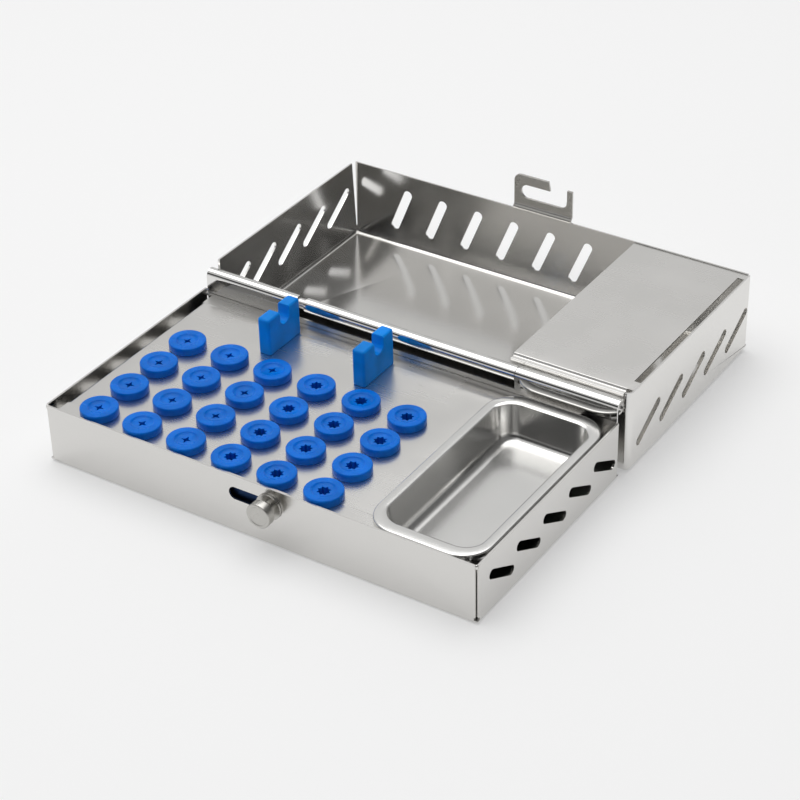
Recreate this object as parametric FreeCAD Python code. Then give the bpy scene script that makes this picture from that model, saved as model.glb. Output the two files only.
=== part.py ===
import FreeCAD, Part
import math
import os

# Hinged stainless steel box for small rotary instruments, lying open on its back.
# +X runs along the hinge, +Y from the front wall towards the open lid, +Z up.
# The origin is the centre of the base's underside. Lengths are millimetres, angles degrees.

# Sheet metal
sheet = 0.6
seam_gap = 0.2

# Base tray of the box
base_width = 150.0
base_depth = 80.0
base_height = 20.0
base_bend = 1.2
weld_radius = 0.55
weld_length = 1.6
relief_radius = 0.9

# Lid, as it lies open
lid_width = base_width
lid_depth = base_depth
lid_height = 28.0
lid_bend = 2.0
lid_side_play = 1.5
rim_gap = 0.1
corner_gap = 2.3
corner_gap_foot = 3.0

# Hinge
barrel_radius = 2.3
pin_clearance = 0.05
pin_recess = 0.5
lid_knuckle_length = 76.0
knuckle_end_gap = 0.25
curl_turn = 305.0
barrel_clearance = 0.35

# Steam slots
base_slot_length = 14.6
base_slot_width = 3.1
base_slot_tilt = -28.0
base_slot_count = 5
base_slot_height = 9.8
base_slot_front_margin = 12.8
base_slot_rear_margin = 8.8
lid_slot_length = 17.2
lid_slot_width = 3.1
lid_slot_tilt = 31.0
lid_slot_count = 5
lid_slot_height = 11.8
lid_slot_near_margin = 12.0
lid_slot_far_margin = 8.8
front_slot_length = 17.4
front_slot_width = 3.3
front_slot_tilt = 66.0
front_slot_count = 9
front_slot_height = 14.0
front_slot_end_margin = 18.6

# Perforated plate that holds the grommets
plate_recess = 1.6
plate_clearance = 0.15
plate_slit_width = 2.5
plate_slit_ear = 0.8
plate_bend = 1.0
plate_leg_setback = 3.0
plate_tray_lap = 0.9
plate_arm_length = 24.6
plate_arm_width = 3.2

# Silicone grommets
grommet_columns = 6
grommet_rows = 4
grommet_left_margin = 15.2
grommet_right_margin = 16.7
grommet_front_margin = 6.9
grommet_rear_margin = 8.7
flange_radius = 5.85
flange_height = 2.6
sleeve_radius = 4.0
sleeve_height = 4.6
cross_length = 3.4
cross_width = 0.8
star_radius = 2.3
star_waist = 1.3
cross_columns = 3

# Silicone rests for longer instruments
rest_width = 4.4
rest_depth = 16.4
rest_height = 12.5
rest_columns = (1.43, 3.58)
rest_rear_margin = 13.2
rest_edge = 0.5
notch_width = 5.6
notch_depth = 5.5
notch_offset = 0.2
tongue_width = 2.4
tongue_depth = 12.0
tongue_foot = 1.6

# Lift-out tray
tray_opening_x = 31.0
tray_opening_y = 68.0
tray_side_rim = 3.2
tray_end_rim = 4.4
tray_corner_radius = 6.5
tray_inner_depth = 12.4
tray_draft = 1.5
tray_floor_radius = 3.4
tray_lip_bevel = 0.4
tray_mouth_bevel = 0.5
tray_side_gap = 0.5
tray_front_gap = 0.3

# Sliding latch
latch_x = 0.6
latch_drop = 6.1
latch_slot_length = 16.5
latch_slot_height = 4.3
latch_travel = 11.8
knob_shaft_radius = 1.9
knob_rivet_radius = 1.4
collar_radius = 4.2
collar_gap = 0.1
collar_thickness = 0.6
knob_neck_radius = 2.1
knob_neck_length = 2.4
knob_head_radius = 4.0
knob_head_length = 2.7
knob_head_bevel = 0.4
slider_length = 10.0
slider_height = 7.2
slider_thickness = 0.9
slider_clearance = 0.1
slider_side_clearance = 0.2
guide_length = 24.0
guide_lip_drop = 0.1
guide_lip_low = 1.0
guide_lip_thickness = 0.4

# Hook plate on the lid's front wall
hook_width = 21.8
hook_thickness = 0.8
hook_height = 12.0
hook_pad = 4.4
hook_offset = 0.9
hook_joggle = 1.0
hook_post = 2.7
hook_slot_length = 17.1
hook_slot_height = 4.9
hook_arm_length = 14.0
hook_arm_slant = 1.2
hook_corner_radius = 2.4
hook_upstand_drop = 1.4

# Half cover inside the lid
cover_left = 34.0
cover_slit = 2.4
cover_drop = 0.3
cover_near_setback = 3.0
cover_step = 1.2
cover_lip = 1.2
cover_near_ear = 4.5
cover_far_ear = 3.0
cover_corner_radius = 1.6

# Places worked out from the sizes above
half_width = base_width / 2
half_depth = base_depth / 2
hinge_y = half_depth - sheet + barrel_radius
hinge_z = (base_height + rim_gap + lid_height) / 2
hinge_half = half_width - sheet - seam_gap
knuckle_start = lid_knuckle_length / 2 + lid_side_play + knuckle_end_gap
lid_near = 2 * hinge_y - half_depth
lid_far = lid_near + lid_depth
lid_left = lid_side_play - lid_width / 2
lid_right = lid_side_play + lid_width / 2
lid_notch_z = hinge_z - barrel_radius - barrel_clearance
plate_top = base_height - plate_recess
plate_bottom = plate_top - sheet
tray_width = tray_opening_x + 2 * tray_side_rim
tray_length = tray_opening_y + 2 * tray_end_rim
tray_right = half_width - sheet - tray_side_gap
tray_x = tray_right - tray_width / 2
tray_y = -half_depth + sheet + tray_front_gap + tray_length / 2
plate_right = tray_right - tray_width + plate_tray_lap
plate_arm_reach = plate_right + plate_arm_length
rest_y = half_depth - rest_rear_margin
grommet_first_x = -half_width + grommet_left_margin
grommet_first_y = -half_depth + grommet_front_margin
grommet_last_x = plate_right - grommet_right_margin
grommet_last_y = rest_y - rest_depth / 2 - grommet_rear_margin
grommet_pitch_x = (grommet_last_x - grommet_first_x) / (grommet_columns - 1)
grommet_pitch_y = (grommet_last_y - grommet_first_y) / (grommet_rows - 1)
base_slot_pitch = (base_depth - base_slot_front_margin - base_slot_rear_margin) / (base_slot_count - 1)
lid_slot_pitch = (lid_depth - lid_slot_near_margin - lid_slot_far_margin) / (lid_slot_count - 1)
front_slot_pitch = (lid_width - 2 * front_slot_end_margin) / (front_slot_count - 1)
latch_z = base_height - latch_drop
latch_rest_x = latch_x + latch_travel / 2
wall_inside = -half_depth + sheet
hook_slot_z = 2 * hinge_z - latch_z
X_AXIS = FreeCAD.Vector(1, 0, 0)
Y_AXIS = FreeCAD.Vector(0, 1, 0)
Z_AXIS = FreeCAD.Vector(0, 0, 1)


def block(x0, x1, y0, y1, z0, z1):
    """Box between two corners."""
    return Part.makeBox(x1 - x0, y1 - y0, z1 - z0, FreeCAD.Vector(x0, y0, z0))


def rod(centre, direction, radius, length):
    """Round bar from a centre along a direction."""
    return Part.makeCylinder(radius, length, centre, direction)


def lies_on(edge, axis, value):
    """True where every vertex of an edge has one coordinate."""
    return all(abs(getattr(v.Point, axis) - value) < 1e-6 for v in edge.Vertexes)


def upright_at(edge, x, y):
    """True for the vertical edge over one point of the plan."""
    return lies_on(edge, "x", x) and lies_on(edge, "y", y)


def in_yz(x):
    """Maps plane coordinates to the plane across the X axis."""
    return lambda a, b: FreeCAD.Vector(x, a, b)


def in_xz(y):
    """Maps plane coordinates to the plane across the Y axis."""
    return lambda a, b: FreeCAD.Vector(a, y, b)


def in_xy(z):
    """Maps plane coordinates to the plane across the Z axis."""
    return lambda a, b: FreeCAD.Vector(a, b, z)


def polygon_face(place, points):
    """Flat face through a closed list of corners."""
    corners = [place(a, b) for a, b in points]
    return Part.Face(Part.makePolygon(corners + corners[:1]))


def slot_face(place, a, b, length, width, tilt):
    """Flat slot with round ends, centred on a, b and tilted from the first axis."""
    r = width / 2
    ca, sa = math.cos(math.radians(tilt)), math.sin(math.radians(tilt))

    def at(u, v):
        return place(a + u * ca - v * sa, b + u * sa + v * ca)

    s = length / 2 - r
    edges = [
        Part.makeLine(at(-s, -r), at(s, -r)),
        Part.Arc(at(s, -r), at(s + r, 0), at(s, r)).toShape(),
        Part.makeLine(at(s, r), at(-s, r)),
        Part.Arc(at(-s, r), at(-s - r, 0), at(-s, -r)).toShape(),
    ]
    return Part.Face(Part.Wire(edges))


def round_rectangle(cx, cy, width, length, radius, z):
    """Closed wire of a rectangle with round corners."""
    w, l, r = width / 2, length / 2, radius
    k = r * (1 - math.sqrt(0.5))
    place = in_xy(z)

    def at(a, b):
        return place(cx + a, cy + b)

    edges = [
        Part.makeLine(at(-w + r, -l), at(w - r, -l)),
        Part.Arc(at(w - r, -l), at(w - k, -l + k), at(w, -l + r)).toShape(),
        Part.makeLine(at(w, -l + r), at(w, l - r)),
        Part.Arc(at(w, l - r), at(w - k, l - k), at(w - r, l)).toShape(),
        Part.makeLine(at(w - r, l), at(-w + r, l)),
        Part.Arc(at(-w + r, l), at(-w + k, l - k), at(-w, l - r)).toShape(),
        Part.makeLine(at(-w, l - r), at(-w, -l + r)),
        Part.Arc(at(-w, -l + r), at(-w + k, -l + k), at(-w + r, -l)).toShape(),
    ]
    return Part.Wire(edges)


def folded_pan(x0, x1, y0, y1, z1, bend, round_uprights):
    """Open pan of folded sheet with rounded floor bends."""
    outer = block(x0, x1, y0, y1, 0, z1)
    inner = block(x0 + sheet, x1 - sheet, y0 + sheet, y1 - sheet, sheet, z1 + sheet)
    shapes = []
    for body, inset, floor, r in ((outer, 0, 0, bend), (inner, sheet, sheet, bend - sheet)):
        edges = [e for e in body.Edges if lies_on(e, "z", floor)]
        for x, y, dx, dy in round_uprights:
            edges += [e for e in body.Edges if upright_at(e, x + inset * dx, y + inset * dy)]
        shapes.append(body.makeFillet(r, edges))
    return shapes[0].cut(shapes[1])


def curl(start, turn, x0, x1):
    """Sheet rolled round the hinge pin, from a start angle and through a turn about +X."""
    inside = barrel_radius - sheet

    def at(radius, angle):
        a = math.radians(angle)
        return FreeCAD.Vector(x0, hinge_y + radius * math.cos(a), hinge_z + radius * math.sin(a))

    middle, end = start + turn / 2, start + turn
    edges = [
        Part.Arc(at(barrel_radius, start), at(barrel_radius, middle), at(barrel_radius, end)).toShape(),
        Part.makeLine(at(barrel_radius, end), at(inside, end)),
        Part.Arc(at(inside, end), at(inside, middle), at(inside, start)).toShape(),
        Part.makeLine(at(inside, start), at(barrel_radius, start)),
    ]
    return Part.Face(Part.Wire(edges)).extrude(FreeCAD.Vector(x1 - x0, 0, 0))


def make_base_shell():
    """Base pan with seams at its corners, slots in its sides and the outer hinge knuckles."""
    body = folded_pan(-half_width, half_width, -half_depth, half_depth, base_height, base_bend, [])
    edge = sheet + seam_gap
    for sx in (-1, 1):
        for sy in (-1, 1):
            x = sorted((sx * (half_width - edge), sx * (half_width + edge)))
            y = sorted((sy * (half_depth - edge), sy * (half_depth + edge)))
            body = body.cut(block(*x, *y, base_bend, base_height + sheet))
            corner = FreeCAD.Vector(sx * (half_width - sheet / 2), sy * (half_depth - sheet / 2), base_bend)
            body = body.cut(rod(corner, Z_AXIS, relief_radius, relief_radius))
            weld = FreeCAD.Vector(sx * (half_width - edge + sheet / 4), sy * (half_depth - edge + sheet / 4),
                                  base_height - weld_length)
            body = body.fuse(rod(weld, Z_AXIS, weld_radius, weld_length))
    for i in range(base_slot_count):
        y = -half_depth + base_slot_front_margin + i * base_slot_pitch
        hole = slot_face(in_yz(-half_width - sheet), y, base_slot_height, base_slot_length,
                         base_slot_width, base_slot_tilt)
        body = body.cut(hole.extrude(X_AXIS * (base_width + 2 * sheet)))
    hole = slot_face(in_xz(-half_depth - sheet), latch_x, latch_z, latch_slot_length, latch_slot_height, 0)
    body = body.cut(hole.extrude(Y_AXIS * 3 * sheet))
    for x0, x1 in ((-hinge_half, -knuckle_start), (knuckle_start, hinge_half)):
        leaf = block(x0, x1, half_depth - sheet, half_depth, base_height - weld_length, hinge_z)
        body = body.fuse(leaf).fuse(curl(180, -curl_turn, x0, x1))
    return body.removeSplitter()


def make_bur_plate():
    """Perforated plate with folded legs, a side slit and two arms that carry the tray's rim."""
    left = -half_width + sheet + plate_clearance
    front = wall_inside + plate_clearance
    rear = half_depth - sheet - plate_clearance
    slit_right = left + plate_slit_width
    body = block(left, plate_right, front, rear, plate_bottom, plate_top)
    for y0, y1 in ((front, front + plate_arm_width), (rear - plate_arm_width, rear)):
        body = body.fuse(block(plate_right - sheet, plate_arm_reach, y0, y1, plate_bottom, plate_top))
    body = body.cut(block(left - sheet, slit_right, front + plate_slit_ear, rear - plate_slit_ear,
                          plate_bottom - sheet, plate_top + sheet))
    leg_front, leg_rear = front + plate_leg_setback, rear - plate_leg_setback
    for x0 in (slit_right, plate_right - sheet):
        body = body.fuse(block(x0, x0 + sheet, leg_front, leg_rear, sheet, plate_top))
    edges = [e for e in body.Edges if lies_on(e, "z", plate_top)
             and (lies_on(e, "x", slit_right) or lies_on(e, "x", plate_right))
             and e.Length > base_depth / 2]
    body = body.makeFillet(min(plate_bend, sheet * 0.9), edges)
    for i in range(grommet_columns):
        for j in range(grommet_rows):
            x, y = grommet_place(i, j)
            body = body.cut(rod(FreeCAD.Vector(x, y, plate_bottom - sheet), Z_AXIS, sleeve_radius, 3 * sheet))
    for x in rest_places():
        body = body.cut(block(x - tongue_width / 2, x + tongue_width / 2, rest_y - tongue_depth / 2,
                              rest_y + tongue_depth / 2, plate_bottom - sheet, plate_top + sheet))
    half = guide_length / 2 + plate_clearance
    deep = wall_inside + slider_thickness + 2 * slider_clearance + sheet + plate_clearance
    return body.cut(block(latch_x - half, latch_x + half, front - sheet, deep,
                          plate_bottom - sheet, plate_top + sheet)).removeSplitter()


def rest_places():
    """X of each silicone rest, counted in grommet columns."""
    return [grommet_first_x + c * grommet_pitch_x for c in rest_columns]


def grommet_place(i, j):
    """Plan position of the grommet in one column and row."""
    return grommet_first_x + i * grommet_pitch_x, grommet_first_y + j * grommet_pitch_y


def socket_outline(i):
    """Corners of a grommet's hole: a cross in the first columns, an eight-pointed star in the rest."""
    if i < cross_columns:
        w, l = cross_width / 2, cross_length / 2
        arm = [(w, -w), (l, -w), (l, w)]
        turns = [(1, 0), (0, 1), (-1, 0), (0, -1)]
        return [(x * c - y * d, x * d + y * c) for c, d in turns for x, y in arm]
    points = []
    for k in range(16):
        angle = math.radians(k * 22.5)
        radius = star_waist if k % 2 else star_radius
        points.append((radius * math.cos(angle), radius * math.sin(angle)))
    return points


def make_grommet(i, j):
    """Silicone grommet: flange on the plate, sleeve through it and a shaped socket."""
    x, y = grommet_place(i, j)
    top = plate_top + flange_height
    low = plate_top - sleeve_height
    outline = [(0, low), (sleeve_radius, low), (sleeve_radius, plate_top), (flange_radius, plate_top),
               (flange_radius, top), (0, top)]
    body = polygon_face(in_xz(0), outline).revolve(FreeCAD.Vector(0, 0, 0), Z_AXIS, 360)
    socket = polygon_face(in_xy(low - sheet), socket_outline(i))
    body = body.cut(socket.extrude(Z_AXIS * (top - low + 2 * sheet)))
    body.translate(FreeCAD.Vector(x, y, 0))
    return body


def make_rest(x):
    """Silicone saddle block with a round-bottomed notch and a foot under the plate."""
    w, d = rest_width / 2, rest_depth / 2
    top = plate_top + rest_height
    body = block(x - w, x + w, rest_y - d, rest_y + d, plate_top, top)
    r = notch_width / 2
    y = rest_y + notch_offset
    bottom = top - notch_depth
    notch = block(x - rest_width, x + rest_width, y - r, y + r, bottom + r, top + r)
    notch = notch.fuse(rod(FreeCAD.Vector(x - rest_width, y, bottom + r), X_AXIS, r, 2 * rest_width))
    body = body.cut(notch)
    edges = [e for e in body.Edges if lies_on(e, "z", top)
             or any(upright_at(e, x + sx * w, rest_y + sy * d) for sx in (-1, 1) for sy in (-1, 1))]
    body = body.makeChamfer(rest_edge, edges)
    t, f = tongue_width / 2, tongue_depth / 2
    body = body.fuse(block(x - t, x + t, rest_y - f, rest_y + f, plate_bottom, plate_top))
    foot = block(x - w, x + w, rest_y - f, rest_y + f, plate_bottom - tongue_foot, plate_bottom)
    return body.fuse(foot)


def tray_hollow(inset, floor_z, top_z, radius):
    """Drafted hollow with round corners and a rounded floor."""
    grown = tray_draft * (top_z - floor_z) / tray_inner_depth
    low = round_rectangle(tray_x, tray_y, tray_opening_x - 2 * inset - 2 * grown,
                          tray_opening_y - 2 * inset - 2 * grown, tray_corner_radius - inset - grown, floor_z)
    high = round_rectangle(tray_x, tray_y, tray_opening_x - 2 * inset, tray_opening_y - 2 * inset,
                           tray_corner_radius - inset, top_z)
    body = Part.makeLoft([low, high], True, True)
    return body.makeFillet(radius, [e for e in body.Edges if lies_on(e, "z", floor_z)])


def make_tray():
    """Pressed tray with a flat rim turned down at its edge."""
    rim_bottom = base_height - sheet
    floor = base_height - tray_inner_depth
    corner = tray_corner_radius + tray_side_rim
    rim = Part.Face(round_rectangle(tray_x, tray_y, tray_width, tray_length, corner, plate_top))
    rim = rim.extrude(Z_AXIS * plate_recess)
    rim = rim.makeChamfer(tray_lip_bevel, [e for e in rim.Edges if lies_on(e, "z", base_height)])
    under = Part.Face(round_rectangle(tray_x, tray_y, tray_width - 2 * sheet, tray_length - 2 * sheet,
                                      corner - sheet, plate_top))
    under = under.extrude(Z_AXIS * (plate_recess - sheet))
    bowl = tray_hollow(-sheet, floor - sheet, rim_bottom, tray_floor_radius + sheet)
    hollow = tray_hollow(0, floor, base_height, tray_floor_radius)
    mouth = Part.Face(round_rectangle(tray_x, tray_y, tray_opening_x, tray_opening_y, tray_corner_radius,
                                      base_height))
    mouth = mouth.extrude(Z_AXIS * sheet)
    body = rim.cut(under).fuse(bowl).cut(hollow.fuse(mouth)).removeSplitter()
    reach_x, reach_y = tray_opening_x / 2 + sheet, tray_opening_y / 2 + sheet
    edges = [e for e in body.Edges if lies_on(e, "z", base_height)
             and all(abs(v.X - tray_x) < reach_x and abs(v.Y - tray_y) < reach_y for v in e.Vertexes)]
    return body.makeChamfer(tray_mouth_bevel, edges)


def make_latch_guide():
    """Hat-section bracket welded inside the front wall, which the slider runs in."""
    back = wall_inside + slider_thickness + 2 * slider_clearance
    half = slider_height / 2 + slider_side_clearance
    low, high = latch_z - half, latch_z + half
    lip = wall_inside + guide_lip_thickness
    foot, top = low - sheet - guide_lip_low, base_height - guide_lip_drop
    outline = [
        (wall_inside, foot), (lip, foot), (lip, low - sheet), (back + sheet, low - sheet),
        (back + sheet, high + sheet), (lip, high + sheet), (lip, top), (wall_inside, top),
        (wall_inside, high), (back, high), (back, low), (wall_inside, low),
    ]
    return polygon_face(in_yz(latch_x - guide_length / 2), outline).extrude(X_AXIS * guide_length)


def make_latch_slider():
    """Flat plate behind the front wall that carries the knob."""
    y0 = wall_inside + slider_clearance
    body = block(latch_rest_x - slider_length / 2, latch_rest_x + slider_length / 2, y0,
                 y0 + slider_thickness, latch_z - slider_height / 2, latch_z + slider_height / 2)
    hole = rod(FreeCAD.Vector(latch_rest_x, y0 - sheet, latch_z), Y_AXIS, knob_rivet_radius,
               slider_thickness + 2 * sheet)
    return body.cut(hole)


def make_latch_knob():
    """Turned knob: rivet end, shaft in the wall's slot, collar, neck and head."""
    y_rivet = wall_inside + slider_clearance + slider_thickness
    y_shaft = wall_inside + slider_clearance
    y_collar = -half_depth - collar_gap
    y_neck = y_collar - collar_thickness
    y_head = y_neck - knob_neck_length
    y_face = y_head - knob_head_length
    outline = [
        (0, y_rivet), (knob_rivet_radius, y_rivet), (knob_rivet_radius, y_shaft),
        (knob_shaft_radius, y_shaft), (knob_shaft_radius, y_collar), (collar_radius, y_collar),
        (collar_radius, y_neck), (knob_neck_radius, y_neck), (knob_neck_radius, y_head),
        (knob_head_radius, y_head), (knob_head_radius, y_face + knob_head_bevel),
        (knob_head_radius - knob_head_bevel, y_face), (0, y_face),
    ]
    face = polygon_face(in_xy(0), outline)
    body = face.revolve(FreeCAD.Vector(0, 0, 0), Y_AXIS, 360)
    body.translate(FreeCAD.Vector(latch_rest_x, 0, latch_z))
    return body


def make_hinge_pin():
    """Straight pin through all the knuckles."""
    length = 2 * (hinge_half - pin_recess)
    radius = barrel_radius - sheet - pin_clearance
    return rod(FreeCAD.Vector(-length / 2, hinge_y, hinge_z), X_AXIS, radius, length)


def make_lid_shell():
    """Deep lid pan with the middle hinge knuckle, slots in three walls and one open corner."""
    body = folded_pan(lid_left, lid_right, lid_near, lid_far, lid_height, lid_bend,
                      [(lid_left, lid_near, 1, 1), (lid_right, lid_near, -1, 1)])
    clear = hinge_half + knuckle_end_gap
    notch_y = hinge_y + barrel_radius + barrel_clearance
    body = body.cut(block(lid_left - sheet, clear, lid_near - sheet, notch_y, lid_notch_z,
                          lid_height + sheet))
    edge = sheet + seam_gap
    x = (lid_right - edge, lid_right + edge)
    body = body.cut(block(*x, lid_far - edge, lid_far + edge, lid_bend, lid_height + sheet))
    wedge = polygon_face(in_yz(lid_left - sheet), [
        (lid_far - corner_gap, lid_height + sheet), (lid_far + sheet, lid_height + sheet),
        (lid_far + sheet, corner_gap_foot), (lid_far - sheet - seam_gap, corner_gap_foot)])
    body = body.cut(wedge.extrude(X_AXIS * (2 * sheet + seam_gap)))
    for i in range(lid_slot_count):
        y = lid_near + lid_slot_near_margin + i * lid_slot_pitch
        hole = slot_face(in_yz(lid_left - sheet), y, lid_slot_height, lid_slot_length,
                         lid_slot_width, lid_slot_tilt)
        body = body.cut(hole.extrude(X_AXIS * (lid_width + 2 * sheet)))
    for i in range(front_slot_count):
        x = lid_left + front_slot_end_margin + i * front_slot_pitch
        hole = slot_face(in_xz(lid_far - 2 * sheet), x, front_slot_height, front_slot_length,
                         front_slot_width, front_slot_tilt)
        body = body.cut(hole.extrude(Y_AXIS * 3 * sheet))
    x0 = lid_side_play - lid_knuckle_length / 2
    x1 = x0 + lid_knuckle_length
    leaf = block(x0, x1, lid_near, lid_near + sheet, lid_notch_z - sheet, hinge_z)
    return body.fuse(leaf).fuse(curl(0, curl_turn, x0, x1)).removeSplitter()


def make_cover_plate():
    """Half cover over the lid's right end, with a stepped near edge and a slit beside the wall."""
    top = lid_height - cover_drop
    left = lid_side_play + cover_left
    wall = lid_right - sheet
    right = wall - cover_slit
    near = lid_near + cover_near_setback
    far = lid_far - sheet
    lip_y = hinge_y + barrel_radius + barrel_clearance
    low = top - cover_step
    place = in_yz(left)
    step = polygon_face(place, [
        (far, top), (near, top), (near - sheet, low), (lip_y, low), (lip_y, low - cover_lip),
        (lip_y + sheet, low - cover_lip), (lip_y + sheet, low - sheet), (near, low - sheet),
        (near + sheet, top - sheet), (far, top - sheet)])
    body = step.extrude(X_AXIS * (right - left))
    ears = ((near, near + cover_near_ear), (far - cover_far_ear, far))
    for y0, y1 in ears:
        body = body.fuse(block(right, wall, y0 + sheet, y1, top - sheet, top))
    edges = [e for e in body.Edges if lies_on(e, "x", left) and lies_on(e, "y", lip_y)]
    if edges:
        body = body.makeFillet(min(cover_corner_radius, sheet * 0.9), edges)
    return body.removeSplitter()


def make_latch_hook():
    """Joggled plate on the lid's front wall with a slot that opens through its free edge."""
    y0 = lid_far
    foot = lid_height
    top = foot + hook_height
    x0 = latch_x - hook_width / 2
    x1 = x0 + hook_width
    profile = [
        (y0, foot - hook_pad), (y0 + hook_thickness, foot - hook_pad), (y0 + hook_thickness, foot),
        (y0 + hook_offset + hook_thickness, foot + hook_joggle),
        (y0 + hook_offset + hook_thickness, top), (y0 + hook_offset, top),
        (y0 + hook_offset, foot + hook_joggle), (y0, foot)]
    body = polygon_face(in_yz(x0), profile).extrude(X_AXIS * hook_width)
    slot_left = x0 + hook_post
    slot_right = slot_left + hook_slot_length
    low = hook_slot_z - hook_slot_height / 2
    high = hook_slot_z + hook_slot_height / 2
    deep = 3 * hook_thickness + hook_offset
    slot = slot_face(in_xz(y0 - hook_thickness), (slot_left + slot_right) / 2, hook_slot_z,
                     hook_slot_length, hook_slot_height, 0)
    arm_end = x0 + hook_arm_length
    gap = polygon_face(in_xz(y0 - hook_thickness), [
        (arm_end, high), (arm_end - hook_arm_slant, top + sheet), (slot_right, top + sheet),
        (slot_right, hook_slot_z), (arm_end, hook_slot_z)])
    crown = block(slot_right - sheet, x1 + sheet, y0 - sheet, y0 + deep, top - hook_upstand_drop, top + sheet)
    body = body.cut(slot.extrude(Y_AXIS * deep)).cut(gap.extrude(Y_AXIS * deep)).cut(crown)
    edges = [e for e in body.Edges if lies_on(e, "x", x0) and lies_on(e, "z", top)]
    body = body.makeFillet(hook_corner_radius, edges)
    return body.removeSplitter()


def node_shapes():
    """Every separate piece of the box with its name."""
    shapes = {"base_shell": make_base_shell(), "bur_plate": make_bur_plate()}
    for i in range(grommet_columns):
        for j in range(grommet_rows):
            shapes["grommet_%d_%d" % (i + 1, j + 1)] = make_grommet(i, j)
    for side, x in zip(("left", "right"), rest_places()):
        shapes["instrument_rest_" + side] = make_rest(x)
    shapes["tray_insert"] = make_tray()
    shapes["latch_guide"] = make_latch_guide()
    shapes["latch_slider"] = make_latch_slider()
    shapes["latch_knob"] = make_latch_knob()
    shapes["hinge_pin"] = make_hinge_pin()
    shapes["lid_shell"] = make_lid_shell()
    shapes["cover_plate"] = make_cover_plate()
    shapes["latch_hook"] = make_latch_hook()
    return shapes


os.makedirs("parts", exist_ok=True)
for name, shape in node_shapes().items():
    box = shape.BoundBox
    print("%-24s valid %s solids %d volume %9.2f  x %.2f..%.2f y %.2f..%.2f z %.2f..%.2f" % (
        name, shape.isValid(), len(shape.Solids), shape.Volume,
        box.XMin, box.XMax, box.YMin, box.YMax, box.ZMin, box.ZMax))
    shape.exportStep("parts/%s.step" % name)
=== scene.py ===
# %% [markdown]
# The object is a stainless steel box for small rotary instruments, lying open. A shallow pan holds a
# perforated plate with blue silicone grommets, and a deep pan is hinged behind it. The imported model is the
# fixed frame: every piece made below sits on the place that the frame gives, and rides on one of its
# bodies.

# %% Load the frame
import math
from contextlib import contextmanager

import bmesh
import bpy
from mathutils import Matrix, Vector


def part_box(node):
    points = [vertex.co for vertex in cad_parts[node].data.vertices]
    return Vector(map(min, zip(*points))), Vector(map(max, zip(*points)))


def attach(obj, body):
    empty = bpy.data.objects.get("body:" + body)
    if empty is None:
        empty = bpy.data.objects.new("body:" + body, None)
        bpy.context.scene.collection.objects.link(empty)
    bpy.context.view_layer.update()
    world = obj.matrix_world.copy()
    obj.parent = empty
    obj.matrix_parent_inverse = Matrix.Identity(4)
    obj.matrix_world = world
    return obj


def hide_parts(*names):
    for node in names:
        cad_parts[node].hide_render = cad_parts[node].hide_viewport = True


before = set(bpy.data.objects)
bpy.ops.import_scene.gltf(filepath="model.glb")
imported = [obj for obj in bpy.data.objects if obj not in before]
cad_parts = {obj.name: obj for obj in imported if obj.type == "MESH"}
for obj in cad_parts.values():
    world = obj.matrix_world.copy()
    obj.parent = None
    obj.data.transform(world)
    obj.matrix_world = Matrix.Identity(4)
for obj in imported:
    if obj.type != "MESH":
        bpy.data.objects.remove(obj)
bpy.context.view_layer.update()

# %% [markdown]
# Blender works in metres, and sheet metal is thought of in millimetres, so sizes are written as a number
# times MM. The few sizes that the whole box shares come first. Places come from the frame's own boxes, so
# that a change in the frame moves the pieces with it.

# %% Shared sizes and places
MM = 0.001
HAIR = 0.01 * MM
SHEET = 0.6 * MM
SHEET_EDGE = 0.1 * MM
BARREL = 2.3 * MM
BASE_TOP = 20 * MM
X, Y, Z = Vector((1, 0, 0)), Vector((0, 1, 0)), Vector((0, 0, 1))

base_low, base_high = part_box("base_shell")
lid_low, lid_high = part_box("lid_shell")
hinge_low, hinge_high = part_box("hinge_pin")
hinge = (hinge_low + hinge_high) / 2
base_front, base_rear = base_low.y, -base_low.y
lid_near, lid_far = hinge.y + (hinge.y - base_rear), lid_high.y
print("hinge axis at y %.2f mm, z %.2f mm" % (hinge.y / MM, hinge.z / MM))

# %% [markdown]
# Everything is shaped in edit mode, as by hand. An operator acts on all that is selected, so the helpers
# first select nothing, and then pick faces, edges or corners by their place. Picking by number would be
# shorter, but the numbers change with every cut, and a place doesn't.

# %% Selecting and editing


def activate(piece):
    """Selects one object and makes it the one that operators act on."""
    bpy.ops.object.select_all(action="DESELECT")
    piece.select_set(True)
    bpy.context.view_layer.objects.active = piece


@contextmanager
def editing(piece, mode="FACE"):
    """Edit mode on one object, with nothing selected."""
    activate(piece)
    bpy.ops.object.mode_set(mode="EDIT")
    bpy.ops.mesh.select_mode(type=mode)
    bpy.ops.mesh.select_all(action="DESELECT")
    yield
    bpy.ops.object.mode_set(mode="OBJECT")


def pick(piece, kind, test):
    """Selects only the faces, edges or verts for which the test is true, and says how many."""
    bpy.ops.mesh.select_all(action="DESELECT")
    bpy.ops.mesh.select_mode(type={"faces": "FACE", "edges": "EDGE", "verts": "VERT"}[kind])
    mesh = bmesh.from_edit_mesh(piece.data)
    chosen = [part for part in getattr(mesh, kind) if test(part)]
    for part in chosen:
        part.select_set(True)
    mesh.select_flush_mode()
    bmesh.update_edit_mesh(piece.data)
    return len(chosen)


def near(a, b):
    """True where two lengths agree to a hair."""
    return abs(a - b) < HAIR


def all_at(part, axis, value):
    """True where every corner of a face or edge has one coordinate."""
    return all(near(getattr(v.co, axis), value) for v in part.verts)


def middle_of(edge):
    """The place halfway along an edge."""
    return (edge.verts[0].co + edge.verts[1].co) / 2


# %% [markdown]
# A piece starts as a primitive that is added at its size and place. The place is then applied, which moves
# it from the object into the mesh, so that every finished object sits at the origin, as the frame's do.

# %% Blocks, rods and sheets


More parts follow.
